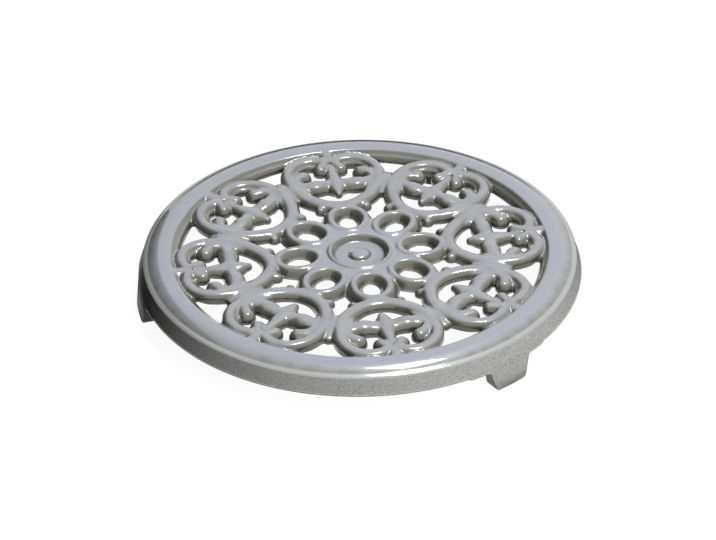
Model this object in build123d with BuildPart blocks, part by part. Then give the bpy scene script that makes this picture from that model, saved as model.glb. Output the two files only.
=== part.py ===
"""Round cast-iron trivet: a pierced flower of eight lobed petals in a domed rim, on three feet.

The casting is turned about +Z from one section, then its openings are cut petal by petal. Each foot
has a shallow socket underneath with a rubber pad in it. The origin is on the table, under the hub.
"""
import os
from dataclasses import dataclass
from math import cos, radians, sin

from build123d import *

os.makedirs("parts", exist_ok=True)

# Overall sizes in millimetres, with heights measured up from the table
outer_diameter = 227.0
skirt_clearance = 13.1  # table to the lower edge of the skirt
plate_clearance = 19.4  # table to the flat underside of the tracery
crest_height = 25.5  # table to the crest of the rim, where a pan rests

# Rim section, from the skirt inwards
skirt_height = 8.9
skirt_lean = 3.1  # the skirt leans outwards by this much on its way down
skirt_foot_width = 4.8  # flat lower edge
bead_step = 0.5
bead_width = 2.5
bead_rise = 1.3
bead_top_width = 1.1  # top of the bead, between a bevel on either side
bead_top_rise = 0.25
bead_bevel = 0.45
rim_slope_width = 6.2  # bead to the crest
crest_land = 2.4  # flat ring on the crest
rim_inner_slope_width = 3.2
groove_depth = 1.5  # groove between the rim and the lobes of the petals
rim_web_width = 17.0  # from the outer edge of the skirt's foot to the thick part of the rim

# Hub section
hub_radius = 17.4
hub_ridge_radius = 15.6
hub_recess_radius = 14.2
hub_floor_radius = 12.4
hub_boss_radius = 5.6
web_height = 24.0  # flat web from the hub to the crossbars, above the table
hub_ridge_rise = 0.5
hub_recess_depth = 2.0
hub_boss_rise = 1.5
hub_boss_shoulder = 45.0  # degrees round the boss's arc from its foot

# Petals: openings are placed by radius and by share of half a petal's angle
petal_count = 8
cutter_clearance = 0.4  # each cutter reaches this far past the faces that it opens

# Radial stations that start from the hub
eyelet_inner_gap = 3.6  # web between the hub and the mouth of an eyelet
eyelet_mouth_length = 21.2
eyelet_mouth_width = 16.8
eyelet_throat_length = 12.0
eyelet_throat_width = 9.2
eyelet_throat_shift = 0.8  # the throat lies nearer to the hub than the mouth
petal_gap_inner_gap = 19.0  # hub to the throat of the gap between two petals
heart_inner_gap = 8.1  # mouth of an eyelet to the throat of the petal's heart

# Radial stations that start from the rim's groove and go inwards
rim_gap_inset = 3.5
rim_gap_length = 15.6
lobe_inset = 17.4  # to the middle of a lobe
ramp_outer_inset = 29.0  # ramp along the crossbars, from the web up to the lobes
ramp_inner_inset = 33.0
heart_inset = 33.2
petal_gap_inset = 40.4

# Flanks of the openings: how much wider a mouth is than its throat, all round
heart_flank = 3.3
petal_gap_flank = 4.1
rim_gap_flank = 3.2

# Lobes, each with two drops, whose roots and tips are placed outwards and aside from the lobe's middle
lobe_aside = 13.0  # from the petal's axis to the middle of a lobe
lobe_mouth_radius = 11.2
lobe_throat_radius = 8.6
lobe_sides = 12  # flats that make up the round wall of a lobe
inner_drop = ((8.3, -10.5), (-0.7, -3.0))
outer_drop = ((-2.0, 12.5), (-2.7, 1.0))
drop_root_height = 24.9  # heights of a drop's back above the table
drop_belly_height = 22.9
drop_tip_height = 21.7
drop_root_width = 5.0
drop_belly_width = 7.4
drop_tip_width = 4.2
drop_belly_share = 0.75  # how far along the drop its widest place lies
drop_back_share = 0.4  # width of the back to the width of the foot

# Feet and their pads
foot_angles = {"left": 180.0, "front": 300.0, "back": 60.0}
apron_angle = 25.0  # stretch of the skirt that reaches lower, with a foot in its middle
apron_depth = 1.0
foot_root_width = 28.0
foot_sole_width = 17.0
foot_root_depth = 11.5
foot_sole_depth = 10.0
foot_head_width = 22.0
foot_head_setback = 6.2  # head of the foot in the rim's hollow, inwards from the skirt
foot_head_depth = 5.0
foot_sole_flare = 1.5  # a foot leans outwards past the skirt by this much
foot_edge_bevel = 1.0
pad_length = 13.0
pad_width = 6.4
pad_thickness = 2.6
pad_proud = 1.0  # how far a pad stands below its foot
pad_socket_clearance = 0.2
pad_edge_bevel = 0.4

# Derived radii and heights
outer_radius = outer_diameter / 2
half_petal = 180.0 / petal_count
bead_radius = outer_radius - skirt_lean - bead_step
rim_slope_radius = bead_radius - bead_width
crest_outer_radius = rim_slope_radius - rim_slope_width
crest_inner_radius = crest_outer_radius - crest_land
groove_radius = crest_inner_radius - rim_inner_slope_width
lobe_crest_radius = groove_radius - groove_depth
step_height = skirt_clearance + skirt_height
bead_foot_height = step_height + bead_rise
groove_height = crest_height - groove_depth
cutter_bottom = plate_clearance - cutter_clearance
cutter_top = crest_height + cutter_clearance


@dataclass(frozen=True)
class Outline:
    """Outline of an opening at one level, between an inner and an outer radius.

    Each point is a share of the way from the inner to the outer radius, then a share of half a petal's
    angle to one side.
    """

    inner: float
    outer: float
    points: list

    def mirrored(self):
        """The outline closed by its mirror image, where it starts and ends on its middle line."""
        other_side = [(along, -aside) for along, aside in reversed(self.points[1:-1])]
        return Outline(self.inner, self.outer, self.points + other_side)

    def spots(self):
        """The points of the outline in the plane."""
        radii = [self.inner + along * (self.outer - self.inner) for along, _ in self.points]
        angles = [radians(aside * half_petal) for _, aside in self.points]
        return [(radius * cos(angle), radius * sin(angle)) for radius, angle in zip(radii, angles)]


def widened(ring, amount):
    """Ring of corners, given clockwise, with every side moved outwards by an amount."""
    spots = [Vector(*spot) for spot in ring]
    runs = [(spots[(place + 1) % len(spots)] - spot).normalized() for place, spot in enumerate(spots)]
    normals = [Vector(-run.Y, run.X) for run in runs]
    corners = []
    for place, spot in enumerate(spots):
        before, after = normals[place - 1], normals[place]
        corners.append(spot + (before + after) * (amount / (1 + before.dot(after))))
    return corners


def opening(throat, flank):
    """Cutter for one opening, which flares by its flank from a throat underneath to a mouth in the top."""
    rings = ((cutter_bottom, throat.spots()), (cutter_top, widened(throat.spots(), flank)))
    with BuildPart() as cutter:
        for height, ring in rings:
            with BuildSketch(Plane.XY.offset(height)):
                with BuildLine():
                    Polyline(*ring, close=True)
                make_face()
        loft(ruled=True)
    return cutter.part


def drop(root, tip):
    """Drop that hangs into a lobe: widest near its blunt tip, with a back that slopes down from the root."""
    run = Vector(*tip) - Vector(*root)
    stations = (
        (0.0, drop_root_width, drop_root_height),
        (drop_belly_share, drop_belly_width, drop_belly_height),
        (1.0, drop_tip_width, drop_tip_height),
    )
    with BuildPart() as body:
        for share, width, height in stations:
            with BuildSketch(Plane(Vector(*root) + run * share, x_dir=run.rotate(Axis.Z, 90), z_dir=run)):
                with BuildLine():
                    foot_half, back_half = width / 2, width * drop_back_share / 2
                    low = cutter_bottom - cutter_clearance
                    Polyline(
                        (-foot_half, low), (foot_half, low), (back_half, height), (-back_half, height), close=True
                    )
                make_face()
        loft(ruled=True)
    return body.part


# Eyelet at the foot of each petal: an oval bowl with an oval hole in it
eyelet_start = hub_radius + eyelet_inner_gap
eyelet_middle = eyelet_start + eyelet_mouth_length / 2
eyelet_end = eyelet_start + eyelet_mouth_length
with BuildPart() as eyelet:
    with BuildSketch(Plane.XY.offset(cutter_bottom)):
        with Locations((eyelet_middle - eyelet_throat_shift, 0)):
            Ellipse(eyelet_throat_length / 2, eyelet_throat_width / 2)
    with BuildSketch(Plane.XY.offset(web_height + cutter_clearance)):
        with Locations((eyelet_middle, 0)):
            Ellipse(eyelet_mouth_length / 2, eyelet_mouth_width / 2)
    loft(ruled=True)

# Heart of the petal, between its two stems, with a leaf's tip hanging into it on the petal's axis
heart_throat = Outline(
    eyelet_end + heart_inner_gap,
    groove_radius - heart_inset,
    [(0.0, 0.0), (0.36, 0.37), (0.80, 0.61), (1.0, 0.68), (0.92, 0.30), (0.44, 0.0)],
)
heart = opening(heart_throat.mirrored(), heart_flank)

# Lobe of the petal: a round, tapering hole with a drop hanging into it from either side
lobe_middle = (groove_radius - lobe_inset, lobe_aside)
with BuildPart() as lobe:
    for height, radius in ((cutter_bottom, lobe_throat_radius), (cutter_top, lobe_mouth_radius)):
        with BuildSketch(Plane.XY.offset(height)):
            with Locations(lobe_middle):
                RegularPolygon(radius, lobe_sides)
    loft(ruled=True)
    for root, tip in (inner_drop, outer_drop):
        with Locations(lobe_middle):
            add(drop(root, tip), mode=Mode.SUBTRACT)

# Gap between two petals near the hub, pinched where a thorn of either stem points into it
petal_gap_throat = Outline(
    hub_radius + petal_gap_inner_gap,
    groove_radius - petal_gap_inset,
    [(0.0, 0.0), (0.11, 0.23), (0.36, 0.155), (0.63, 0.205), (0.84, 0.11), (1.0, 0.0)],
)
petal_gap = opening(petal_gap_throat.mirrored(), petal_gap_flank)

# Three-cornered gap between two lobes and the rim
rim_gap_end = groove_radius - rim_gap_inset
rim_gap_throat = Outline(
    rim_gap_end - rim_gap_length, rim_gap_end, [(0.0, 0.0), (0.50, 0.12), (0.96, 0.24), (1.0, 0.0)]
)
rim_gap = opening(rim_gap_throat.mirrored(), rim_gap_flank)

# Foot: widest where it leaves the apron, round on the outside, with a head in the hollow of the rim
apron_height = skirt_clearance - apron_depth
foot_sole_radius = outer_radius + foot_sole_flare
foot_head_radius = outer_radius - foot_head_setback
with BuildPart() as foot:
    with BuildSketch(Plane.XY.offset(pad_proud)):
        with Locations((foot_sole_radius, 0)):
            Rectangle(foot_sole_depth, foot_sole_width, align=(Align.MAX, Align.CENTER))
    with BuildSketch(Plane.XY.offset(apron_height)):
        with Locations((outer_radius, 0)):
            Rectangle(foot_root_depth, foot_root_width, align=(Align.MAX, Align.CENTER))
    loft(ruled=True)
    chamfer(foot.faces().sort_by(Axis.Z)[0].edges(), length=foot_edge_bevel)
    with BuildSketch(Plane.XY.offset(apron_height)):
        with Locations((outer_radius, 0)):
            Rectangle(foot_root_depth, foot_root_width, align=(Align.MAX, Align.CENTER))
    with BuildSketch(Plane.XY.offset(plate_clearance + cutter_clearance)):
        with Locations((foot_head_radius, 0)):
            Rectangle(foot_head_depth, foot_head_width, align=(Align.MAX, Align.CENTER))
    loft(ruled=True)
    with BuildSketch(Plane.XZ):
        with BuildLine():
            Polyline(
                (outer_radius - rim_web_width, pad_proud),
                (foot_sole_radius, pad_proud),
                (outer_radius, apron_height),
                (outer_radius, skirt_clearance),
                (outer_radius - skirt_lean, step_height),
                (outer_radius - rim_web_width, step_height),
                close=True,
            )
        make_face()
    revolve(axis=Axis.Z, mode=Mode.INTERSECT)

# Apron: the skirt's lower edge reaches further down on either side of a foot
with BuildPart() as apron:
    with BuildSketch(Plane.XZ):
        with Locations((outer_radius, apron_height)):
            Rectangle(skirt_foot_width, 2 * apron_depth, align=(Align.MAX, Align.MIN))
    revolve(axis=Axis.Z, revolution_arc=apron_angle)

# Socket under each foot
pad_radius = foot_sole_radius - foot_sole_depth / 2
socket_depth = pad_thickness - pad_proud
with BuildPart() as pad_socket:
    with BuildSketch():
        with Locations((pad_radius, 0)):
            Rectangle(pad_width + 2 * pad_socket_clearance, pad_length + 2 * pad_socket_clearance)
    extrude(amount=pad_proud + socket_depth)

# The casting
with BuildPart() as trivet_casting:
    with BuildSketch(Plane.XZ):
        with BuildLine():
            floor_height = web_height - hub_recess_depth
            Line((0, plate_clearance), (0, floor_height + hub_boss_rise))
            shoulder = radians(hub_boss_shoulder)
            boss = ThreePointArc(
                (0, floor_height + hub_boss_rise),
                (hub_boss_radius * cos(shoulder), floor_height + hub_boss_rise * sin(shoulder)),
                (hub_boss_radius, floor_height),
            )
            tracery = Polyline(
                boss @ 1,
                (hub_floor_radius, floor_height),
                (hub_recess_radius, web_height),
                (hub_ridge_radius, web_height + hub_ridge_rise),
                (hub_radius, web_height),
                (groove_radius - ramp_inner_inset, web_height),
                (groove_radius - ramp_outer_inset, crest_height),
                (lobe_crest_radius, crest_height),
                (groove_radius, groove_height),
                (crest_inner_radius, crest_height),
            )
            crest = Line(tracery @ 1, (crest_outer_radius, crest_height))
            outer_slope = TangentArc(crest @ 1, (rim_slope_radius, bead_foot_height), tangent=crest % 1)
            bead_top_height = bead_foot_height + bead_top_rise
            Polyline(
                outer_slope @ 1,
                (bead_radius - bead_bevel - bead_top_width, bead_top_height),
                (bead_radius - bead_bevel, bead_top_height),
                (bead_radius, bead_top_height - bead_bevel),
                (bead_radius, step_height),
                (bead_radius + bead_step, step_height),
                (outer_radius, skirt_clearance),
                (outer_radius - skirt_foot_width, skirt_clearance),
                (outer_radius - rim_web_width + (plate_clearance - skirt_clearance), plate_clearance),
                (0, plate_clearance),
            )
        make_face()
    revolve(axis=Axis.Z)
    with PolarLocations(0, petal_count):
        add(eyelet.part, mode=Mode.SUBTRACT)
        add(heart, mode=Mode.SUBTRACT)
        add(lobe.part, mode=Mode.SUBTRACT)
        add(mirror(lobe.part, about=Plane.XZ, mode=Mode.PRIVATE), mode=Mode.SUBTRACT)
    with PolarLocations(0, petal_count, start_angle=half_petal):
        add(petal_gap, mode=Mode.SUBTRACT)
        add(rim_gap, mode=Mode.SUBTRACT)
    for foot_angle in foot_angles.values():
        add(apron.part.rotate(Axis.Z, foot_angle - apron_angle / 2))
        add(foot.part.rotate(Axis.Z, foot_angle))
        add(pad_socket.part.rotate(Axis.Z, foot_angle), mode=Mode.SUBTRACT)
trivet_casting.part.label = "trivet_casting"
export_step(trivet_casting.part, "parts/trivet_casting.step")

# Rubber pads, seated against the ceilings of their sockets
for place, foot_angle in foot_angles.items():
    with BuildPart() as foot_pad:
        with BuildSketch(Plane.XY.rotated((0, 0, foot_angle))):
            with Locations((pad_radius, 0)):
                Rectangle(pad_width, pad_length)
        extrude(amount=pad_thickness)
        chamfer(foot_pad.faces().sort_by(Axis.Z)[0].edges(), length=pad_edge_bevel)
    foot_pad.part.label = f"foot_pad_{place}"
    export_step(foot_pad.part, f"parts/foot_pad_{place}.step")
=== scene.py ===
"""Glazed cast-iron trivet: spun rim with drawn-out feet, modelled tracery, rubber pads and finishes."""
from __future__ import annotations

import logging
import math
from collections.abc import Callable
from dataclasses import dataclass
from enum import Enum

import bpy
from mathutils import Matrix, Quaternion, Vector

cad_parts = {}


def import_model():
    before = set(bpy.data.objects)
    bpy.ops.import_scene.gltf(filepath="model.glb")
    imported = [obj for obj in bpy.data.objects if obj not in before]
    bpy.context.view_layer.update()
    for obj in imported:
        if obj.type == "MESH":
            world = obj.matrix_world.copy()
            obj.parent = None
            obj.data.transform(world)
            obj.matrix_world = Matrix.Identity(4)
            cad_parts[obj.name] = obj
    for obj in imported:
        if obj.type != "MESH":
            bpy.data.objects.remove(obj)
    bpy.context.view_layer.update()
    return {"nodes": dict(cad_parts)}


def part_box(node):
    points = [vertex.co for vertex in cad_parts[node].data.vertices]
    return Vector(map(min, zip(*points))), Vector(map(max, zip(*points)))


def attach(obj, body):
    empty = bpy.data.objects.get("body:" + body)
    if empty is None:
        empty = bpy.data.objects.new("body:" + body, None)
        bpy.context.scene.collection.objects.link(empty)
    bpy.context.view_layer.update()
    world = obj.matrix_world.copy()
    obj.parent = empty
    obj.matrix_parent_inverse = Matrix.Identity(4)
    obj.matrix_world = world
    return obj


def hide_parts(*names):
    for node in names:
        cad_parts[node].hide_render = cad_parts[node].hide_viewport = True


LOG = logging.getLogger("trivet")
MM = 0.001
CASTING = "trivet_casting"

# Heights that the rim, the hub and the tracery share, and the distance at which points are merged, in mm
UNDERSIDE = 19.4
WEB_HEIGHT = 23.5
WELD = 0.01

# Width of the photograph, in pixels
PHOTO_WIDTH = 716

# Colour sockets of a Mix node, by number, because its other sockets have the same names
MIX_FIRST = 6
MIX_SECOND = 7
MIXED = 2

# Octaves of broad and of fine patterns, rays that feel for hollows and edges, and a ramp that starts gently
BROAD_DETAIL = 3.0
FINE_DETAIL = 2.0
OCCLUSION_SAMPLES = 12
GENTLE = {"interpolation_type": "SMOOTHSTEP"}

# A place in a section or plan, and an arc's first angle, last angle and number of points
Point = tuple[float, float]
Turn = tuple[float, float, int]


class Side(Enum):
    """Half of a petal, as the sign of its sideways places."""

    LEFT = -1
    RIGHT = 1


class Section(Enum):
    """Section of a strand, as corners of its right half: aside and down from the crest, in half widths."""

    ROUND = ((0.0, 0.0), (0.26, -0.034), (0.5, -0.134), (0.707, -0.293), (0.866, -0.5), (0.966, -0.74),
             (1.0, -1.0), (1.0, -1.9))
    BAND = ((0.0, 0.0), (0.5, -0.03), (0.75, -0.11), (0.9, -0.3), (1.0, -0.65), (1.0, -2.2))
    SOFT = ((0.0, 0.0), (0.3, -0.04), (0.55, -0.13), (0.75, -0.27), (0.9, -0.46), (1.0, -0.75), (1.0, -1.6))
    RIDGE = ((0.0, 0.0), (0.12, -0.015), (0.28, -0.08), (0.45, -0.22), (0.62, -0.44), (0.78, -0.7),
             (0.92, -1.0), (1.0, -1.3), (1.0, -1.9))


class Zone(Enum):
    """Kind of surface on the rim, as the number of its material slot."""

    GLAZE = 0
    SKIRT = 1


def linear(colour: str) -> tuple[float, float, float, float]:
    """Turn an sRGB colour into the linear one that shaders take.

    Args:
        colour: Colour as "#RRGGBB".

    Returns:
        Linear red, green, blue and an alpha of one.
    """
    parts = [int(colour[at : at + 2], 16) / 255 for at in (1, 3, 5)]
    # The sRGB curve: a straight start, then a power
    red, green, blue = (
        part / 12.92 if part <= 0.04045 else ((part + 0.055) / 1.055) ** 2.4 for part in parts)
    return red, green, blue, 1.0


def add_node(tree: bpy.types.NodeTree, kind: str, values: dict[int | str, object] | None = None,
             links: dict[int | str, bpy.types.NodeSocket] | None = None,
             **settings: object) -> bpy.types.Node:
    """Add a node to a tree, with its settings, socket values and incoming links.

    Args:
        tree: Node tree that gets the node.
        kind: Node type.
        values: Constants by input socket.
        links: Output sockets by the input socket that they feed.
        settings: Properties of the node itself.

    Returns:
        The node.
    """
    node = tree.nodes.new(kind)
    for name, setting in settings.items():
        setattr(node, name, setting)
    for socket, value in (values or {}).items():
        node.inputs[socket].default_value = value
    for socket, source in (links or {}).items():
        tree.links.new(source, node.inputs[socket])
    return node


def new_material(name: str) -> tuple[bpy.types.Material, bpy.types.NodeTree]:
    """Make a material with an empty node tree.

    Args:
        name: Name of the material.

    Returns:
        The material and its tree.
    """
    material = bpy.data.materials.new(name)
    material.use_nodes = True
    material.node_tree.nodes.clear()
    return material, material.node_tree


def background_rays(tree: bpy.types.NodeTree) -> tuple[bpy.types.Node, bpy.types.Node]:
    """Tell rays that see the background, straight, mirrored or through glass, from those that only light.

    Args:
        tree: Node tree.

    Returns:
        The light path's node, and a node that gives one for a ray that sees and zero for another.
    """
    path = add_node(tree, "ShaderNodeLightPath")
    mirrored = add_node(tree, "ShaderNodeMath", None,
                        {0: path.outputs["Is Camera Ray"], 1: path.outputs["Is Glossy Ray"]},
                        operation="MAXIMUM")
    seen = add_node(tree, "ShaderNodeMath", None,
                    {0: mirrored.outputs[0], 1: path.outputs["Is Transmission Ray"]}, operation="MAXIMUM")
    return path, seen


def show_alone(piece: bpy.types.Object) -> None:
    """Make a piece the only selected one, and the active one.

    Args:
        piece: Object to select.
    """
    bpy.ops.object.select_all(action="DESELECT")
    piece.select_set(True)
    bpy.context.view_layer.objects.active = piece


def smooth(piece: bpy.types.Object, angle: float) -> None:
    """Shade a piece smoothly, apart from edges that turn by more than an angle in degrees."""
    show_alone(piece)
    bpy.ops.object.shade_smooth_by_angle(angle=math.radians(angle))


def select_vertices(piece: bpy.types.Object, wanted: Callable[[Vector], bool]) -> None:
    """Go into edit mode with the vertices selected that a test picks by their place.

    Args:
        piece: Mesh object.
        wanted: Test of a vertex's place.
    """
    show_alone(piece)
    mesh = piece.data
    for faces_or_edges in (mesh.polygons, mesh.edges):
        faces_or_edges.foreach_set("select", [False] * len(faces_or_edges))
    mesh.vertices.foreach_set("select", [wanted(vertex.co) for vertex in mesh.vertices])
    bpy.ops.object.mode_set(mode="EDIT")
    bpy.ops.mesh.select_mode(type="VERT")


def apply_modifier(piece: bpy.types.Object, kind: str, **settings: object) -> None:
    """Add a modifier to a piece and apply it.

    Args:
        piece: Mesh object.
        kind: Modifier type.
        settings: Properties of the modifier.
    """
    show_alone(piece)
    bpy.ops.object.modifier_add(type=kind)
    modifier = piece.modifiers[-1]
    for name, setting in settings.items():
        setattr(modifier, name, setting)
    bpy.ops.object.modifier_apply(modifier=modifier.name)


def join(name: str, pieces: list[bpy.types.Object]) -> bpy.types.Object:
    """Join mesh objects into one.

    Args:
        name: Name of the joined object.
        pieces: Two or more mesh objects.

    Returns:
        The joined object.
    """
    show_alone(pieces[0])
    for piece in pieces:
        piece.select_set(True)
    bpy.ops.object.join()
    joined = bpy.context.object
    joined.name = joined.data.name = name
    return joined


def straight(start: Point, end: Point, shares: list[float]) -> list[Point]:
    """Lay points along a straight line, at shares of its length."""
    across, up = end[0] - start[0], end[1] - start[1]
    return [(start[0] + across * share, start[1] + up * share) for share in shares]


def arc(middle: Point, radius: float, start: float, end: float, count: int) -> list[Point]:
    """Lay points along an arc.

    Args:
        middle: Middle of the arc, in mm.
        radius: Radius, in mm.
        start: Angle of the first point, in degrees.
        end: Angle of the last point, in degrees.
        count: Number of points.

    Returns:
        The points, in mm.
    """
    angles = [math.radians(start + (end - start) * at / (count - 1)) for at in range(count)]
    return [(middle[0] + radius * math.cos(a), middle[1] + radius * math.sin(a)) for a in angles]


def spun(name: str, section: list[Point], steps: int, closed: bool = True) -> bpy.types.Object:
    """Spin a section about the trivet's axis.

    Args:
        name: Name of the object.
        section: Radius and height of the section's corners, in mm.
        steps: Number of steps in the turn.
        closed: Whether the section is a closed ring; an open one starts and ends on the axis.

    Returns:
        A mesh object.
    """
    bpy.ops.object.select_all(action="DESELECT")
    bpy.ops.curve.primitive_bezier_curve_add()
    piece = bpy.context.object
    piece.name = name
    piece.data.splines.clear()
    spline = piece.data.splines.new("POLY")
    spline.points.add(len(section) - 1)
    for point, (radius, height) in zip(spline.points, section):
        point.co = (radius * MM, 0, height * MM, 1)
    spline.use_cyclic_u = closed
    bpy.ops.object.convert(target="MESH")
    bpy.ops.object.mode_set(mode="EDIT")
    bpy.ops.mesh.select_all(action="SELECT")
    bpy.ops.mesh.spin(steps=steps, angle=math.tau, center=(0, 0, 0), axis=(0, 0, 1))
    bpy.ops.mesh.select_all(action="SELECT")
    bpy.ops.mesh.remove_doubles(threshold=WELD * MM)
    bpy.ops.mesh.normals_make_consistent(inside=False)
    bpy.ops.object.mode_set(mode="OBJECT")
    return piece


def direction(azimuth: float, elevation: float) -> Vector:
    """Turn an azimuth, from the front towards the right, and an elevation, in degrees, into a direction."""
    across, up = math.radians(azimuth), math.radians(elevation)
    return Vector((math.sin(across) * math.cos(up), -math.cos(across) * math.cos(up), math.sin(up)))


@dataclass(frozen=True)
class Ramp:
    """Share that goes from its least to its most while a measure goes from one value to another."""

    start: float
    end: float
    least: float = 0.0
    most: float = 1.0

    def values(self, unit: float = 1.0) -> dict[str, float]:
        """Give the socket values of the ramp for a measure in a unit."""
        return {"From Min": self.start * unit, "From Max": self.end * unit,
                "To Min": self.least, "To Max": self.most}


@dataclass(frozen=True)
class GlazeFinish:
    """Glossy grey glaze, olive in hollows and pale on crests, with painted shade and painted reflection."""

    # Lavender of the bluish overhead light, painted on flats as a reflection
    painted_reflection: str = "#979AA4"
    slope: str = "#5E5F57"
    # Dark olive of pooled glaze and of specks, also painted as shade on walls, in hollows and low down
    dark_glaze_and_shade: str = "#3E3B32"
    # Pale grey of glaze thinned on edges and the bead, also painted on tops as a sheen of light from above
    crest: str = "#A6A8A5"
    patch: str = "#66635A"
    roughness: float = 0.3
    coat_roughness: float = 0.03
    coat_ior: float = 1.6
    ripple_strength: float = 0.12

    # Sizes of the patterns, and of the hollows and edges that the colour answers to, in mm
    mottle_size: float = 7.0
    speck_size: float = 1.1
    ripple_depth: float = 0.2
    hollow_reach: float = 6.0
    crest_reach: float = 2.0

    # Ramps by height, for painted shade lower down, and by radius, for the hub and land that take the full
    # painted reflection and for the bead, in mm
    clear: Ramp = Ramp(20.4, 24.4)
    hub: Ramp = Ramp(34.0, 26.0, least=0.6)
    land: Ramp = Ramp(94.0, 97.0, least=0.6)
    bead: Ramp = Ramp(108.2, 109.0, most=0.75)

    # Ramps by the upward part of the surface's normal: painted reflection on flats, painted shade on steep
    # walls and a painted sheen on tops
    level: Ramp = Ramp(0.88, 0.998)
    # Painted shade on steep walls
    painted_wall_shade: Ramp = Ramp(0.6, 0.05, most=0.75)
    top: Ramp = Ramp(0.7, 0.99, most=0.55)

    # Ramps by how open the surface lies, outside and inside, for hollows with pooled glaze and painted shade
    # and for pale edges, and by the strength of the two patterns
    hollow: Ramp = Ramp(0.97, 0.5, most=0.9)
    edge: Ramp = Ramp(0.8, 0.3, most=0.6)
    patches: Ramp = Ramp(0.45, 0.7, most=0.7)
    dots: Ramp = Ramp(0.6, 0.74, most=0.22)

    def material(self) -> bpy.types.Material:
        """Build the glaze: colour by the surface's slope, height, radius and openness, mottled and speckled.

        Returns:
            The material.
        """
        # Thick glaze fired on cast iron: wet highlights over an olive colour that gathers dark in hollows
        # and thins to pale grey on edges. Painted over it are shade, which darkens walls, hollows and the
        # lower parts, and a pale lavender reflection of the overhead light on tops and flats. Real specks
        # are a few tenths of a millimetre, too fine for the picture, so they are drawn coarser to show.
        material, tree = new_material("grey_glaze")
        place = add_node(tree, "ShaderNodeTexCoord")
        spot = {"Vector": place.outputs["Object"]}
        sampling = {"samples": OCCLUSION_SAMPLES, "only_local": True}
        shut_in = add_node(tree, "ShaderNodeAmbientOcclusion", {"Distance": self.hollow_reach * MM},
                           **sampling)
        exposed = add_node(tree, "ShaderNodeAmbientOcclusion", {"Distance": self.crest_reach * MM},
                           **sampling, inside=True)
        mottle = add_node(tree, "ShaderNodeTexNoise",
                          {"Scale": 1 / (self.mottle_size * MM), "Detail": BROAD_DETAIL}, spot)
        speck = add_node(tree, "ShaderNodeTexNoise",
                         {"Scale": 1 / (self.speck_size * MM), "Detail": FINE_DETAIL}, spot)
        point = add_node(tree, "ShaderNodeSeparateXYZ", links={0: place.outputs["Object"]})
        plan = add_node(tree, "ShaderNodeVectorMath", {1: (1, 1, 0)}, {0: place.outputs["Object"]},
                        operation="MULTIPLY")
        radius = add_node(tree, "ShaderNodeVectorMath", None, {0: plan.outputs[0]}, operation="LENGTH")
        normal = add_node(tree, "ShaderNodeSeparateXYZ", links={0: place.outputs["Normal"]})
        high, out, up = ({"Value": socket} for socket in (
            point.outputs["Z"], radius.outputs["Value"], normal.outputs["Z"]))

        # Darker lower down, towards the underside: painted shade, together with glaze that gathers low
        clear = add_node(tree, "ShaderNodeMapRange", self.clear.values(MM), high, **GENTLE)
        hub = add_node(tree, "ShaderNodeMapRange", self.hub.values(MM), out)
        land = add_node(tree, "ShaderNodeMapRange", self.land.values(MM), out)
        bead = add_node(tree, "ShaderNodeMapRange", self.bead.values(MM), out, **GENTLE)
        # Painted reflection of the overhead light on flats, by how nearly the surface faces straight up
        level = add_node(tree, "ShaderNodeMapRange", self.level.values(), up, **GENTLE)
        # Painted shade on steep walls
        painted_wall_shade = add_node(tree, "ShaderNodeMapRange", self.painted_wall_shade.values(), up, **GENTLE)
        # Painted sheen of light from above on tops
        top = add_node(tree, "ShaderNodeMapRange", self.top.values(), up, **GENTLE)
        # Pooled glaze and painted shade in hollows and on walls
        hollow = add_node(tree, "ShaderNodeMapRange", self.hollow.values(), {"Value": shut_in.outputs["AO"]})
        edge = add_node(tree, "ShaderNodeMapRange", self.edge.values(), {"Value": exposed.outputs["AO"]})
        patches = add_node(tree, "ShaderNodeMapRange", self.patches.values(), {"Value": mottle.outputs[0]})
        dots = add_node(tree, "ShaderNodeMapRange", self.dots.values(), {"Value": speck.outputs[0]})
        # The painted reflection is full on the hub and the rim's land, and weaker elsewhere
        broad = add_node(tree, "ShaderNodeMath", None, {0: hub.outputs[0], 1: land.outputs[0]},
                         operation="MAXIMUM")
        painted_reflection_share = add_node(tree, "ShaderNodeMath", None, {0: level.outputs[0], 1: broad.outputs[0]},
                            operation="MULTIPLY")

        # Base: dark olive low down, as painted shade and gathered glaze, and olive higher up
        colour = add_node(tree, "ShaderNodeMix",
                          {MIX_FIRST: linear(self.dark_glaze_and_shade), MIX_SECOND: linear(self.slope)},
                          {0: clear.outputs[0]}, data_type="RGBA")
        # Over it: painted wall shade, painted sheen on tops, mottle, painted reflection on flats, pale edges
        # and bead, pooled glaze with painted shade in hollows, and specks
        for share, shade in (
            (painted_wall_shade, self.dark_glaze_and_shade), (top, self.crest), (patches, self.patch), (painted_reflection_share, self.painted_reflection),
            (edge, self.crest), (bead, self.crest), (hollow, self.dark_glaze_and_shade), (dots, self.dark_glaze_and_shade),
        ):
            colour = add_node(tree, "ShaderNodeMix", {MIX_SECOND: linear(shade)},
                              {0: share.outputs[0], MIX_FIRST: colour.outputs[MIXED]}, data_type="RGBA")
        ripple = add_node(tree, "ShaderNodeBump",
                          {"Strength": self.ripple_strength, "Distance": self.ripple_depth * MM},
                          {"Height": mottle.outputs[0]})
        shader = add_node(tree, "ShaderNodeBsdfPrincipled",
                          {"Roughness": self.roughness, "Coat Weight": 1.0,
                           "Coat Roughness": self.coat_roughness, "Coat IOR": self.coat_ior},
                          {"Base Color": colour.outputs[MIXED], "Normal": ripple.outputs[0]})
        add_node(tree, "ShaderNodeOutputMaterial", links={"Surface": shader.outputs[0]})
        return material


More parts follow.
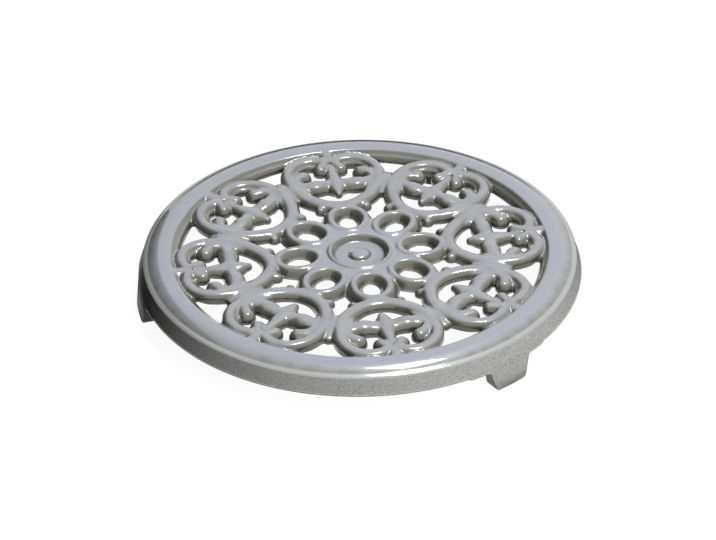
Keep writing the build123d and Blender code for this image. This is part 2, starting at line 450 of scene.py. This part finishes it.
@dataclass(frozen=True)
class SkirtFinish:
    """Thin, sandy glaze of the skirt and underside: half matte and grainy, worn to iron low on the feet."""

    body: str = "#AEAFAC"
    grain: str = "#8A8A83"
    iron: str = "#5E5644"
    roughness: float = 0.4
    specular: float = 0.2
    grain_strength: float = 0.25

    # Sizes of the grain and of the worn patches, in mm
    grain_size: float = 0.8
    grain_depth: float = 0.08
    wear_size: float = 6.0

    # Ramps by the strength of the grain, and by height, in mm
    grains: Ramp = Ramp(0.4, 0.7)
    worn: Ramp = Ramp(6.5, 0.0, most=1.9)

    def material(self) -> bpy.types.Material:
        """Build the speckled glaze.

        Returns:
            The material.
        """
        # Glaze sprayed thinly on a sand casting: a dull, gritty grey that wears through to brown iron where
        # the feet rub. The grit is too fine for the picture, so it is drawn coarser to show.
        material, tree = new_material("speckled_glaze")
        place = add_node(tree, "ShaderNodeTexCoord")
        spot = {"Vector": place.outputs["Object"]}
        point = add_node(tree, "ShaderNodeSeparateXYZ", links={0: place.outputs["Object"]})
        grain = add_node(tree, "ShaderNodeTexNoise",
                         {"Scale": 1 / (self.grain_size * MM), "Detail": FINE_DETAIL}, spot)
        wear = add_node(tree, "ShaderNodeTexNoise",
                        {"Scale": 1 / (self.wear_size * MM), "Detail": BROAD_DETAIL}, spot)
        grains = add_node(tree, "ShaderNodeMapRange", self.grains.values(), {"Value": grain.outputs[0]})
        worn = add_node(tree, "ShaderNodeMapRange", self.worn.values(MM), {"Value": point.outputs["Z"]})
        bare = add_node(tree, "ShaderNodeMath", None, {0: worn.outputs[0], 1: wear.outputs[0]},
                        operation="MULTIPLY")
        sandy = add_node(tree, "ShaderNodeMix",
                         {MIX_FIRST: linear(self.body), MIX_SECOND: linear(self.grain)},
                         {0: grains.outputs[0]}, data_type="RGBA")
        colour = add_node(tree, "ShaderNodeMix", {MIX_SECOND: linear(self.iron)},
                          {0: bare.outputs[0], MIX_FIRST: sandy.outputs[MIXED]}, data_type="RGBA")
        rough = add_node(tree, "ShaderNodeBump",
                         {"Strength": self.grain_strength, "Distance": self.grain_depth * MM},
                         {"Height": grain.outputs[0]})
        shader = add_node(tree, "ShaderNodeBsdfPrincipled",
                          {"Roughness": self.roughness, "Specular IOR Level": self.specular},
                          {"Base Color": colour.outputs[MIXED], "Normal": rough.outputs[0]})
        add_node(tree, "ShaderNodeOutputMaterial", links={"Surface": shader.outputs[0]})
        return material


@dataclass(frozen=True)
class RubberFinish:
    """Dark, matte rubber, with patches of bloom of a size in mm."""

    colour: str = "#2A2826"
    dust: str = "#3A3836"
    roughness: float = 0.75
    bloom_size: float = 4.0

    def material(self) -> bpy.types.Material:
        """Build the rubber, with a dusty bloom in patches.

        Returns:
            The material.
        """
        # Moulded black rubber: no highlight, and a grey bloom in soft patches.
        material, tree = new_material("black_rubber")
        place = add_node(tree, "ShaderNodeTexCoord")
        bloom = add_node(tree, "ShaderNodeTexNoise",
                         {"Scale": 1 / (self.bloom_size * MM), "Detail": BROAD_DETAIL},
                         {"Vector": place.outputs["Object"]})
        colour = add_node(tree, "ShaderNodeMix",
                          {MIX_FIRST: linear(self.colour), MIX_SECOND: linear(self.dust)},
                          {0: bloom.outputs[0]}, data_type="RGBA")
        shader = add_node(tree, "ShaderNodeBsdfPrincipled", {"Roughness": self.roughness},
                          {"Base Color": colour.outputs[MIXED]})
        add_node(tree, "ShaderNodeOutputMaterial", links={"Surface": shader.outputs[0]})
        return material


@dataclass
class Rim:
    """Domed rim with its bead, leaning skirt and three feet; sizes in mm, angles in degrees."""

    outer_radius: float
    crest_height: float
    underside: float = UNDERSIDE
    steps: int = 720
    smooth_angle: float = 38.0

    # Upper side, from the seam with the tracery to the shoulder
    seam_radius: float = 99.2
    land_end: float = 102.0
    slope_end: Point = (108.3, 23.35)
    slope_power: float = 1.6
    slope_spans: int = 10
    bead_middle: Point = (106.66, 15.61)
    bead_radius: float = 7.88
    bead_arc: Turn = (75.0, 60.0, 6)
    shoulder_middle: Point = (110.25, 21.82)
    shoulder_radius: float = 0.7
    shoulder_arc: Turn = (55.0, 16.0, 5)

    # Skirt, with the shares of the wall at which its straight stretch starts and ends
    wall_top: Point = (110.93, 22.0)
    wall_start: float = 0.06
    wall_end: float = 0.86
    wall_spans: int = 8
    glaze_overrun: float = 0.2
    skirt_height: float = 13.1
    skirt_inner: float = 108.7
    edge_rounding: float = 0.9
    edge_arc: Turn = (15.0, -90.0, 6)
    lip_inset: float = 0.7
    lip_rounding: float = 0.6
    lip_arc: Turn = (-90.0, -200.0, 4)
    hollow_end: float = 102.8
    hollow_spans: int = 5

    # Aprons and feet
    foot_angles: tuple[float, ...] = (180.0, 300.0, 60.0)
    apron_half_angle: float = 12.5
    apron_run_out: float = 0.6
    apron_drop: float = 1.0
    root_half_angle: float = 7.1
    sole_half_angle: float = 4.25
    sole_height: float = 1.0
    sole_flare: float = 1.35
    root_reach: float = 6.2

    # Parts of the skirt's section that are drawn down, flared outwards and pulled inwards for the feet
    drawn_height: float = 1.3
    drawn_inset: float = 0.5
    flared_width: float = 2.0
    pulled_width: float = 1.5
    lip_rise: float = 0.15
    lip_pull: float = 0.6

    def section(self) -> list[Point]:
        """Lay out the rim's section, from the seam with the tracery outwards and back underneath.

        Returns:
            Radius and height of its corners.
        """
        top = self.crest_height
        run, fall = self.slope_end[0] - self.land_end, top - self.slope_end[1]
        slope = [(self.land_end + run * share, top - fall * share ** self.slope_power)
                 for share in [at / self.slope_spans for at in range(self.slope_spans + 1)]]
        wall = straight(self.wall_top, (self.outer_radius, self.skirt_height), [
            self.wall_start + (self.wall_end - self.wall_start) * at / self.wall_spans
            for at in range(self.wall_spans + 1)])
        edge_middle = (self.outer_radius - self.edge_rounding, self.skirt_height + self.edge_rounding)
        lip_middle = (self.skirt_inner + self.lip_inset, self.skirt_height + self.lip_rounding)
        hollow = straight((self.skirt_inner, self.skirt_height), (self.hollow_end, self.underside), [
            (at + 1) / self.hollow_spans for at in range(self.hollow_spans)])
        return [
            (self.seam_radius, self.underside),
            (self.seam_radius, top),
            ((self.seam_radius + self.land_end) / 2, top),
            *slope,
            *arc(self.bead_middle, self.bead_radius, *self.bead_arc),
            *arc(self.shoulder_middle, self.shoulder_radius, *self.shoulder_arc),
            *wall,
            *arc(edge_middle, self.edge_rounding, *self.edge_arc),
            *arc(lip_middle, self.lip_rounding, *self.lip_arc),
            *hollow,
        ]

    def foot_share(self, angle: float) -> float:
        """Give the share of a foot's full depth at an angle from its middle.

        Args:
            angle: Angle between a place and the foot's middle.

        Returns:
            One over the sole, zero beside the foot, and a gentle change between.
        """
        share = (self.root_half_angle - abs(angle)) / (self.root_half_angle - self.sole_half_angle)
        share = min(max(share, 0.0), 1.0)
        return share * share * (3 - 2 * share)

    def apron_share(self, angle: float) -> float:
        """Give the share of an apron's full depth at an angle from the middle of its foot."""
        inside = max(self.apron_half_angle + self.apron_run_out - angle, 0.0)
        return min(inside / (2 * self.apron_run_out), 1.0)

    def nearest_foot(self, place: Vector) -> float:
        """Give the angle between a place and the nearest foot's middle."""
        here = math.degrees(math.atan2(place.y, place.x))
        return min(abs((here - foot + 180) % 360 - 180) for foot in self.foot_angles)

    def draw_out_feet(self, piece: bpy.types.Object) -> None:
        """Draw the aprons and feet down out of the skirt's lower edge.

        Args:
            piece: The spun rim.
        """
        deepest = self.skirt_height - self.sole_height
        drawn_top = self.skirt_height + self.drawn_height
        drawn_inner = self.skirt_inner - self.drawn_inset
        groups = ("down", "outwards", "inwards")
        down, outwards, inwards = (piece.vertex_groups.new(name=name) for name in groups)
        for vertex in piece.data.vertices:
            angle = self.nearest_foot(vertex.co)
            radius, height = vertex.co.xy.length / MM, vertex.co.z / MM
            share = self.foot_share(angle)
            if angle > self.apron_half_angle + self.apron_run_out or height > self.underside - WELD:
                continue
            if height < drawn_top and radius > drawn_inner:
                drop = max(self.apron_share(angle) * self.apron_drop, share * deepest)
                down.add([vertex.index], drop / deepest, "REPLACE")
                if radius > self.outer_radius - self.flared_width:
                    outwards.add([vertex.index], share, "REPLACE")
            if radius < self.skirt_inner + self.pulled_width:
                rise = (height - self.skirt_height) / (self.underside - self.skirt_height)
                pull = self.lip_pull if rise < self.lip_rise else 1 - rise
                inwards.add([vertex.index], share * pull, "REPLACE")
        apply_modifier(piece, "DISPLACE", direction="Z", strength=-deepest * MM, mid_level=0.0,
                       vertex_group="down")
        # Soles go out towards a cylinder twice as wide as the rim, and roots in towards one half as wide
        cylinder = {"cast_type": "CYLINDER", "use_z": False, "use_radius_as_size": False}
        apply_modifier(piece, "CAST", **cylinder, size=2 * self.outer_radius * MM,
                       factor=self.sole_flare / self.outer_radius, vertex_group="outwards")
        apply_modifier(piece, "CAST", **cylinder, size=self.outer_radius * MM / 2,
                       factor=2 * self.root_reach / self.outer_radius, vertex_group="inwards")

    def build(self, glaze: bpy.types.Material, skirt: bpy.types.Material) -> bpy.types.Object:
        """Model the rim and give it its two glazes.

        Args:
            glaze: Glaze of the upper side.
            skirt: Glaze of the skirt and underside.

        Returns:
            The rim.
        """
        piece = spun("rim", self.section(), self.steps)
        self.draw_out_feet(piece)
        piece.data.materials.append(glaze)
        piece.data.materials.append(skirt)
        glaze_end = (self.wall_top[1] - self.glaze_overrun) * MM
        zones = [Zone.SKIRT if face.center.z < glaze_end else Zone.GLAZE for face in piece.data.polygons]
        piece.data.polygons.foreach_set("material_index", [zone.value for zone in zones])
        smooth(piece, self.smooth_angle)
        return piece


@dataclass(frozen=True)
class Strand:
    """Strand of the tracery, by its crest line, in mm.

    Each point is the place to the side and outwards on the petal, the height of the crest, and half the
    width there.
    """

    name: str
    points: tuple[tuple[float, float, float, float], ...]
    section: Section = Section.ROUND
    closed: bool = False
    mirrored: bool = True
    blunt: bool = False
    spans: int = 10
    ball_segments: int = 32
    ball_rings: int = 20

    def profile(self) -> bpy.types.Object:
        """Draw the strand's section as a closed curve, one millimetre to each half width.

        Returns:
            The curve.
        """
        bpy.ops.curve.primitive_bezier_curve_add()
        outline = bpy.context.object
        outline.data.dimensions = "2D"
        outline.data.splines.clear()
        right = self.section.value
        corners = [*right, *((-aside, down) for aside, down in reversed(right[1:]))]
        spline = outline.data.splines.new("POLY")
        spline.points.add(len(corners) - 1)
        for point, (aside, down) in zip(spline.points, corners):
            point.co = (aside * MM, down * MM, 0, 1)
        spline.use_cyclic_u = True
        return outline

    def build(self, side: Side) -> list[bpy.types.Object]:
        """Model the strand on the petal that points along +X.

        Args:
            side: Half of the petal.

        Returns:
            The strand's mesh and, where it ends bluntly, the ball on its end.
        """
        bpy.ops.object.select_all(action="DESELECT")
        outline = self.profile()
        bpy.ops.curve.primitive_bezier_curve_add()
        piece = bpy.context.object
        spline = piece.data.splines[0]
        spline.bezier_points.add(len(self.points) - 2)
        for point, (aside, out, crest, half) in zip(spline.bezier_points, self.points):
            point.co = (out * MM, side.value * aside * MM, crest * MM)
            point.handle_left_type = point.handle_right_type = "AUTO"
            point.radius = half
        spline.use_cyclic_u = self.closed
        piece.data.twist_mode = "Z_UP"
        piece.data.bevel_mode = "OBJECT"
        piece.data.bevel_object = outline
        piece.data.resolution_u = self.spans
        piece.data.use_fill_caps = True
        show_alone(piece)
        bpy.ops.object.convert(target="MESH")
        bpy.data.objects.remove(outline)
        pieces = [piece]
        if self.blunt:
            aside, out, crest, half = self.points[-1]
            bpy.ops.mesh.primitive_uv_sphere_add(
                segments=self.ball_segments, ring_count=self.ball_rings, radius=half * MM,
                location=(out * MM, side.value * aside * MM, (crest - half) * MM))
            bpy.ops.object.transform_apply(location=True)
            pieces.append(bpy.context.object)
        return pieces


@dataclass
class Hub:
    """Hub in the middle of the tracery: boss, recess and ridge, in mm.

    The corners of each part are given outwards from its radius, and up from the recess's floor or the web.
    """

    web_height: float = WEB_HEIGHT
    floor_height: float = 21.3
    underside: float = UNDERSIDE
    boss_radius: float = 5.6
    boss_rise: float = 2.0
    boss_power: float = 2.6
    boss_shares: tuple[float, ...] = (0.0, 0.2, 0.4, 0.55, 0.7, 0.8, 0.88, 0.94, 0.98)
    boss_foot: tuple[Point, ...] = ((0.3, 0.1), (0.9, 0.0))
    floor_radius: float = 12.2
    floor_edge: tuple[Point, ...] = ((-0.8, 0.0), (0.0, 0.15), (0.7, 0.6))
    recess_radius: float = 14.2
    recess_lip: tuple[Point, ...] = ((-0.5, -0.5), (0.0, 0.1), (0.6, 0.5))
    ridge_radius: float = 15.7
    ridge_back: tuple[Point, ...] = ((-0.4, 0.86), (0.0, 0.9), (0.6, 0.5), (1.2, 0.18), (1.9, 0.04))
    edge_radius: float = 18.4
    edge_rise: float = 0.02
    steps: int = 180
    smooth_angle: float = 50.0

    def section(self) -> list[Point]:
        """Lay out the section from the axis outwards.

        Returns:
            Radius and height of its corners.
        """
        web, floor = self.web_height, self.floor_height
        return [
            *((self.boss_radius * share, floor + self.boss_rise * math.sqrt(1 - share ** self.boss_power))
              for share in self.boss_shares),
            *((self.boss_radius + out, floor + up) for out, up in self.boss_foot),
            *((self.floor_radius + out, floor + up) for out, up in self.floor_edge),
            *((self.recess_radius + out, web + up) for out, up in self.recess_lip),
            *((self.ridge_radius + out, web + up) for out, up in self.ridge_back),
            (self.edge_radius, web + self.edge_rise),
            (self.edge_radius, self.underside),
            (0.0, self.underside),
        ]

    def build(self, glaze: bpy.types.Material) -> bpy.types.Object:
        """Model the hub.

        Args:
            glaze: Its glaze.

        Returns:
            The hub.
        """
        piece = spun("hub", self.section(), self.steps, closed=False)
        piece.data.materials.append(glaze)
        smooth(piece, self.smooth_angle)
        return piece


@dataclass
class Tracery:
    """Pierced flower inside the rim: web, eyelets, and eight petals of round strands, in mm."""

    crest_height: float
    underside: float = UNDERSIDE
    web_height: float = WEB_HEIGHT
    petals: int = 8

    # Web round the hub, with the fall of its outer edge, and the holes in it
    web_inner: float = 16.5
    web_flat_end: float = 30.0
    web_fall: tuple[Point, ...] = ((31.5, 23.1), (34.5, 21.2))
    web_outer: float = 36.2
    web_steps: int = 180
    eyelet_middle: float = 31.6
    eyelet_long: float = 10.8
    eyelet_wide: float = 9.0
    eyelet_sides: int = 64
    punch_depth: float = 20.0

    # Inner slope of the rim, which runs just under the rim's crest
    slope_inner: float = 91.6
    slope_rise: tuple[Point, ...] = ((92.4, 21.6), (93.4, 22.9), (94.5, 23.4), (95.3, 24.1), (96.1, 25.0))
    slope_top: float = 97.0
    slope_end: float = 101.0
    slope_tuck: float = 0.03
    slope_steps: int = 360

    # Skin that runs over all of it
    voxel: float = 0.5
    smoothing: int = 12
    smoothing_factor: float = 0.5
    triangles: int = 190000
    smooth_angle: float = 50.0

    strands: tuple[Strand, ...] = (
        Strand("ring", (
            (-5, 46.8, 24.2, 4.6), (0, 46.2, 24.2, 4.7), (6, 47.2, 24.3, 4.7), (13, 51.4, 24.5, 4.6),
            (18.2, 56.8, 24.8, 4.6), (21.8, 63, 25, 4.6), (23.6, 70.5, 25.2, 4.2), (23.8, 78.5, 25.3, 3.7),
            (21, 85, 25.3, 3.6), (16.6, 89.1, 25.3, 3.9), (11.3, 90.8, 25.3, 3.9), (6.4, 90.4, 25.3, 3.9),
            (2.8, 88.6, 25.1, 3.2), (0.4, 86.2, 24.6, 2.4),
        ), Section.SOFT),
        Strand("seam", (
            (22, 53.5, 23, 2), (25.2, 60.8, 24.2, 2.6), (28, 67.6, 24.3, 2.8), (29.6, 71.4, 23.4, 2.6),
        ), blunt=True),
        Strand("dish", (
            (19.2, 69, 23.4, 2.8), (21.2, 76, 23.4, 2.8), (19.9, 82.2, 23.4, 3), (15.8, 86.7, 23.4, 3),
            (10.4, 88.3, 23.2, 3), (5.4, 87, 22.8, 2.9), (2.4, 83.6, 22.6, 2.6),
        ), Section.BAND),
        Strand("crossbar", (
            (0, 69.2, 23.9, 4.2), (4.8, 67.2, 24.4, 5.0), (10.8, 66.2, 25.3, 5.8), (16.6, 66.8, 24.6, 5.0),
            (22.0, 68.8, 24.6, 4.2),
        ), Section.SOFT),
        Strand("spine", (
            (0, 85, 23.9, 2.2), (0, 79, 24.0, 3.0), (0, 74, 24.4, 4.6), (0, 66.5, 24.9, 5.6),
        ), Section.SOFT, mirrored=False),
        Strand("gusset", (
            (0, 97, 25.0, 6.5), (0, 93, 25.0, 4.0), (0, 89.5, 24.8, 2.6), (0, 87, 24.2, 2.0),
        ), Section.SOFT, mirrored=False),
        Strand("leaf", (
            (0, 67.0, 24.7, 7.6), (0, 63.2, 24.7, 6.2), (0, 60.2, 24.4, 4.4), (0, 57.8, 23.9, 2.3),
        ), mirrored=False, blunt=True),
        Strand("inner_drop", (
            (1.2, 89.0, 24.9, 2.4), (3.4, 85.6, 25.0, 3.3), (5.3, 82.2, 24.8, 4.2),
        ), blunt=True),
        Strand("outer_drop", (
            (14.6, 57.6, 23.4, 1.8), (17.8, 63, 24.2, 2.4), (20.2, 69.6, 24.8, 2.9), (19.2, 74.4, 25, 3.9),
            (15.6, 77.4, 24.9, 4.8),
        ), blunt=True),
        Strand("thorn", (
            (9, 49.4, 24.2, 4.2), (10.9, 46.8, 23.8, 3.8), (12.0, 45.0, 23.2, 3.2),
        ), blunt=True),
        Strand("eyelet", (
            (0, 20.6, 24.4, 4.8), (9.2, 31.6, 24.5, 4.8), (0, 42.6, 24.4, 5.0), (-9.2, 31.6, 24.5, 4.8),
        ), Section.RIDGE, closed=True, mirrored=False),
    )

    def web_section(self) -> list[Point]:
        """Lay out the section of the web round the hub.

        Returns:
            Radius and height of its corners.
        """
        return [
            (self.web_inner, self.underside),
            (self.web_inner, self.web_height),
            (self.web_flat_end, self.web_height),
            *self.web_fall,
            (self.web_outer, self.underside),
        ]

    def slope_section(self) -> list[Point]:
        """Lay out the section of the rim's inner slope, which the lobes run into.

        Returns:
            Radius and height of its corners.
        """
        top = self.crest_height - self.slope_tuck
        return [
            (self.slope_inner, self.underside),
            *self.slope_rise,
            (self.slope_top, top),
            (self.slope_end, top),
            (self.slope_end, self.underside),
        ]

    def copy_round(self, piece: bpy.types.Object) -> None:
        """Copy a piece's mesh round the axis, once for every petal.

        Args:
            piece: Mesh object on the petal that points along +X.
        """
        copies = self.petals - 1
        show_alone(piece)
        bpy.ops.object.mode_set(mode="EDIT")
        bpy.ops.mesh.select_all(action="SELECT")
        bpy.ops.mesh.spin(steps=copies, dupli=True, angle=math.tau * copies / self.petals, center=(0, 0, 0),
                          axis=(0, 0, 1))
        bpy.ops.object.mode_set(mode="OBJECT")

    def web(self) -> bpy.types.Object:
        """Model the web with a hole for each eyelet.

        Returns:
            The web.
        """
        web = spun("web", self.web_section(), self.web_steps)
        bpy.ops.object.select_all(action="DESELECT")
        bpy.ops.mesh.primitive_cylinder_add(
            vertices=self.eyelet_sides, radius=MM, depth=self.punch_depth * MM,
            location=(self.eyelet_middle * MM, 0, self.web_height * MM))
        punch = bpy.context.object
        bpy.ops.transform.resize(value=(self.eyelet_long, self.eyelet_wide, 1))
        bpy.ops.object.transform_apply(location=True, rotation=True, scale=True)
        self.copy_round(punch)
        apply_modifier(web, "BOOLEAN", operation="DIFFERENCE", solver="EXACT", object=punch)
        bpy.data.objects.remove(punch)
        return web

    def petal(self) -> bpy.types.Object:
        """Model the petal that points along +X.

        Returns:
            The petal.
        """
        pieces: list[bpy.types.Object] = []
        for strand in self.strands:
            sides = tuple(Side) if strand.mirrored else (Side.RIGHT,)
            for side in sides:
                pieces += strand.build(side)
            LOG.info("petal: strand %s", strand.name)
        return join("petal", pieces)

    def build(self, glaze: bpy.types.Material) -> bpy.types.Object:
        """Model the tracery as one skin.

        Args:
            glaze: Its glaze.

        Returns:
            The tracery.
        """
        petal = self.petal()
        self.copy_round(petal)
        slope = spun("inner_slope", self.slope_section(), self.slope_steps)
        piece = join("tracery", [petal, self.web(), slope])
        apply_modifier(piece, "REMESH", mode="VOXEL", voxel_size=self.voxel * MM)
        select_vertices(piece, lambda place: place.z < self.underside * MM)
        bpy.ops.transform.resize(value=(1, 1, 0), center_override=(0, 0, self.underside * MM))
        bpy.ops.object.mode_set(mode="OBJECT")
        apply_modifier(piece, "SMOOTH", factor=self.smoothing_factor, iterations=self.smoothing)
        apply_modifier(piece, "DECIMATE", ratio=self.triangles / (2 * len(piece.data.polygons)))
        piece.data.materials.clear()
        piece.data.materials.append(glaze)
        smooth(piece, self.smooth_angle)
        return piece


@dataclass(frozen=True)
class Pads:
    """Rubber pads under the feet, which keep the meshes of the frame."""

    names: tuple[str, ...] = ("foot_pad_left", "foot_pad_front", "foot_pad_back")

    def dress(self, nodes: dict[str, bpy.types.Object],
              rubber: bpy.types.Material) -> list[bpy.types.Object]:
        """Give the pads their rubber.

        Args:
            nodes: Objects of the frame, by name.
            rubber: Finish of the pads.

        Returns:
            The pads.
        """
        pads = [nodes[name] for name in self.names]
        for pad in pads:
            pad.data.materials.clear()
            pad.data.materials.append(rubber)
        return pads


@dataclass(frozen=True)
class Card:
    """Black card that darkens a side of the trivet, out of the camera's sight; metres and degrees."""

    name: str
    place: tuple[float, float, float]
    size: Point
    tilt: float = 0.0
    heading: float = 0.0

    def build(self, material: bpy.types.Material) -> None:
        """Set up the card.

        Args:
            material: Its black.
        """
        turn = (math.radians(self.tilt), 0, math.radians(self.heading))
        bpy.ops.mesh.primitive_plane_add(size=1, location=self.place, rotation=turn)
        card = bpy.context.object
        card.name = self.name
        bpy.ops.transform.resize(value=(*self.size, 1.0))
        bpy.ops.object.transform_apply(location=True, rotation=True, scale=True)
        card.data.materials.append(material)
        card.visible_camera = card.visible_shadow = False


@dataclass(frozen=True)
class Lamp:
    """Square soft light that faces the trivet; metres, degrees and watts."""

    name: str
    azimuth: float
    elevation: float
    distance: float
    size: float
    power: float
    colour: str = "#FFFFFF"
    mirrored: bool = False

    def build(self, target: Vector) -> None:
        """Hang the light.

        Args:
            target: Place that it faces.
        """
        towards = direction(self.azimuth, self.elevation)
        bpy.ops.object.light_add(type="AREA", location=target + towards * self.distance)
        lamp = bpy.context.object
        lamp.name = self.name
        lamp.data.size = self.size
        lamp.data.energy = self.power
        lamp.data.color = linear(self.colour)[:3]
        lamp.visible_glossy = self.mirrored
        lamp.rotation_mode = "QUATERNION"
        lamp.rotation_quaternion = (-towards).to_track_quat("-Z", "Y")


@dataclass
class Studio:
    """White surroundings, black cards, soft lights and camera; metres and degrees, the lens in mm."""

    azimuth: float = -10.5
    elevation: float = 33.59
    roll: float = 0.78
    distance: float = 1.7928
    target: tuple[float, float, float] = (0.0, 0.0, 0.0144)
    lens: float = 175.98
    shift_pixels: Point = (-1.9, -3.94)
    near_clip: float = 0.05
    floor_size: float = 8.0
    floor_drop: float = 0.1 * MM
    floor_colour: str = "#C4C4C4"
    floor_bounce: str = "#484848"
    floor_glow: float = 1.25
    floor_glow_share: float = 0.75
    sky_colour: str = "#FFFFFF"
    sky_light: float = 0.05
    card_colour: str = "#181818"
    cards: tuple[Card, ...] = (
        Card("card_left", (-0.6, 0.35, 0.5), (2.4, 2.4), tilt=90.0, heading=75.0),
        Card("card_beside", (-0.62, 0.4, 0.0002), (1.0, 1.2)),
        Card("card_behind", (0.1, 0.52, 0.0003), (0.6, 0.8)),
        Card("card_right", (0.41, 0.3, 0.0004), (0.58, 0.72)),
    )
    lamps: tuple[Lamp, ...] = (
        Lamp("overhead", 110.0, 72.0, 1.6, 1.0, 4.5, "#DCE4FF"),
        Lamp("key", 125.0, 77.0, 1.25, 0.28, 7.0, mirrored=True),
        Lamp("side", 30.0, 42.0, 1.5, 0.8, 9.5),
        Lamp("front", 15.0, 26.0, 1.6, 0.5, 13.0),
    )

    def lay_floor(self) -> None:
        """Lay a white floor, just under the pads, that keeps the shadow."""
        bpy.ops.mesh.primitive_plane_add(size=self.floor_size, location=(0, 0, -self.floor_drop))
        floor = bpy.context.object
        floor.name = "floor"
        # Matt white paper, which looks white itself and throws little light up at the trivet
        material, tree = new_material("white_floor")
        path, seen = background_rays(tree)
        colour = add_node(tree, "ShaderNodeMix",
                          {MIX_FIRST: linear(self.floor_colour), MIX_SECOND: linear(self.floor_bounce)},
                          {0: path.outputs["Is Diffuse Ray"]}, data_type="RGBA")
        paper = add_node(tree, "ShaderNodeBsdfDiffuse", None, {"Color": colour.outputs[MIXED]})
        glow = add_node(tree, "ShaderNodeEmission", {"Strength": self.floor_glow})
        share = add_node(tree, "ShaderNodeMath", {1: self.floor_glow_share}, {0: seen.outputs[0]},
                         operation="MULTIPLY")
        surface = add_node(tree, "ShaderNodeMixShader", None,
                           {0: share.outputs[0], 1: paper.outputs[0], 2: glow.outputs[0]})
        add_node(tree, "ShaderNodeOutputMaterial", links={"Surface": surface.outputs[0]})
        floor.data.materials.append(material)

    def surround(self) -> None:
        """Surround the scene with white that is seen directly or mirrored, and lights only faintly."""
        world = bpy.data.worlds.new("studio")
        bpy.context.scene.world = world
        world.use_nodes = True
        tree = world.node_tree
        tree.nodes.clear()
        _, seen = background_rays(tree)
        level = add_node(tree, "ShaderNodeMapRange", {"To Min": self.sky_light}, {"Value": seen.outputs[0]})
        sky = add_node(tree, "ShaderNodeBackground", {"Color": linear(self.sky_colour)},
                       {"Strength": level.outputs[0]})
        add_node(tree, "ShaderNodeOutputWorld", links={"Surface": sky.outputs[0]})

    def place_cards(self) -> None:
        """Put black cards upright on the left, and on the floor on the left, behind and on the right."""
        # Matt black card, which the glaze mirrors as a dark side
        material, tree = new_material("black_card")
        paint = add_node(tree, "ShaderNodeBsdfDiffuse", {"Color": linear(self.card_colour)})
        add_node(tree, "ShaderNodeOutputMaterial", links={"Surface": paint.outputs[0]})
        for card in self.cards:
            card.build(material)

    def set_camera(self) -> None:
        """Set up the camera as in the photograph."""
        back = direction(self.azimuth, self.elevation)
        bpy.ops.object.camera_add(location=Vector(self.target) + back * self.distance)
        camera = bpy.context.object
        camera.rotation_mode = "QUATERNION"
        camera.rotation_quaternion = ((-back).to_track_quat("-Z", "Y")
                                      @ Quaternion((0, 0, 1), math.radians(-self.roll)))
        camera.data.lens = self.lens
        camera.data.shift_x, camera.data.shift_y = (pixels / PHOTO_WIDTH for pixels in self.shift_pixels)
        camera.data.clip_start = self.near_clip
        bpy.context.scene.camera = camera

    def build(self) -> None:
        """Set up floor, surroundings, cards, lights and camera."""
        bpy.context.scene.view_settings.view_transform = "Standard"
        self.lay_floor()
        self.surround()
        self.place_cards()
        for lamp in self.lamps:
            lamp.build(Vector(self.target))
        self.set_camera()


def main() -> None:
    """Load the frame, model and dress the trivet, and set up the studio."""
    logging.basicConfig(level=logging.INFO)
    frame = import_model()
    _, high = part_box(CASTING)
    outer_radius = high[1] / MM
    crest_height = high[2] / MM
    glaze, skirt, rubber = GlazeFinish().material(), SkirtFinish().material(), RubberFinish().material()
    rim = Rim(outer_radius, crest_height).build(glaze, skirt)
    hub = Hub().build(glaze)
    tracery = Tracery(crest_height).build(glaze)
    for piece in (rim, hub, tracery):
        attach(piece, "root")
        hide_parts(CASTING)
    pads = Pads().dress(frame["nodes"], rubber)
    for piece in (rim, hub, tracery, *pads):
        LOG.info("%s: %d faces", piece.name, len(piece.data.polygons))
    Studio().build()


if __name__ == "__main__":
    main()
